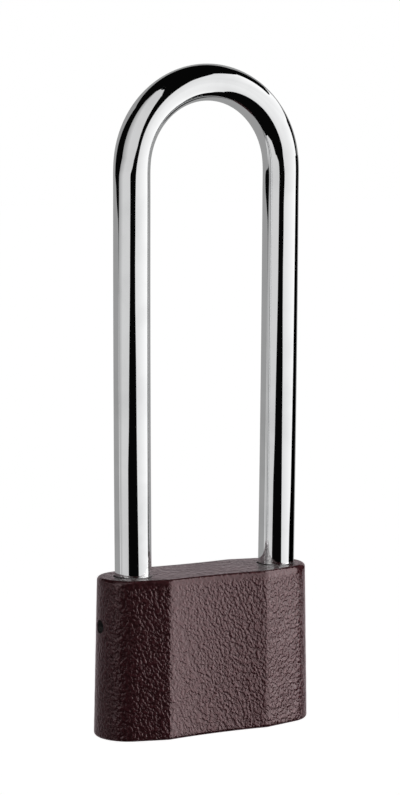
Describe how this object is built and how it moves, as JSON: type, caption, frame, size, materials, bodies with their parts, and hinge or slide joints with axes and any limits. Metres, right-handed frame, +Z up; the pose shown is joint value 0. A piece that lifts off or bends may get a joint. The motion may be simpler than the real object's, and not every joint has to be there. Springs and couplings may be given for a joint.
{
  "type": "padlock",
  "caption": "Long-shackle padlock with a drafted cast case, dished between two ridges, a round-bar shackle, and a pin cylinder that throws a bolt into the toe.",
  "frame": {"origin": "centre of the case's flat underside", "axes": "+Z up along the shackle's legs, +X towards the toe leg, +Y towards the back, so the front faces -Y"},
  "size_m": [0.0614, 0.0224, 0.1729],
  "materials": {
    "hammered_paint": "glossy hammered paint over the casting",
    "chrome": "bright polished plating",
    "brass": "turned and drilled",
    "steel": "plain ground steel",
    "spring_steel": "bright drawn wire and strip"
  },
  "bodies": {
    "case": {"cast_case": "hammered_paint", "cylinder_shell": "brass", "spring_chamber_cover": "brass", "shackle_retaining_pin": "steel", "cylinder_retaining_pin": "steel", "driver_pin_1": "brass", "driver_pin_2": "brass", "driver_pin_3": "brass", "driver_pin_4": "brass", "driver_pin_5": "brass", "pin_spring_1": "spring_steel", "pin_spring_2": "spring_steel", "pin_spring_3": "spring_steel", "pin_spring_4": "spring_steel", "pin_spring_5": "spring_steel"},
    "shackle": {"shackle": "chrome"},
    "plug": {"cylinder_plug": "brass", "plug_clip": "spring_steel", "crank": "steel", "key_pin_1": "brass", "key_pin_2": "brass", "key_pin_3": "brass", "key_pin_4": "brass", "key_pin_5": "brass"},
    "bolt": {"lock_bolt": "steel"}
  },
  "joints": [
    {"name": "shackle_lift", "type": "slide", "parent": "case", "child": "shackle", "axis": [0, 0, 1], "range_m": [0, 0.0155]},
    {"name": "key_turn", "type": "hinge", "parent": "case", "child": "plug", "pos_m": [-0.0019, 0, 0], "axis": [0, 0, -1], "range_deg": [0, 90]},
    {"name": "bolt_throw", "type": "slide", "parent": "case", "child": "bolt", "axis": [1, 0, 0], "range_m": [0, 0.00241]}
  ],
  "couplings": [
    {"joint": "bolt_throw", "follows": "key_turn", "m_per_rad": 0.0015305}
  ]
}
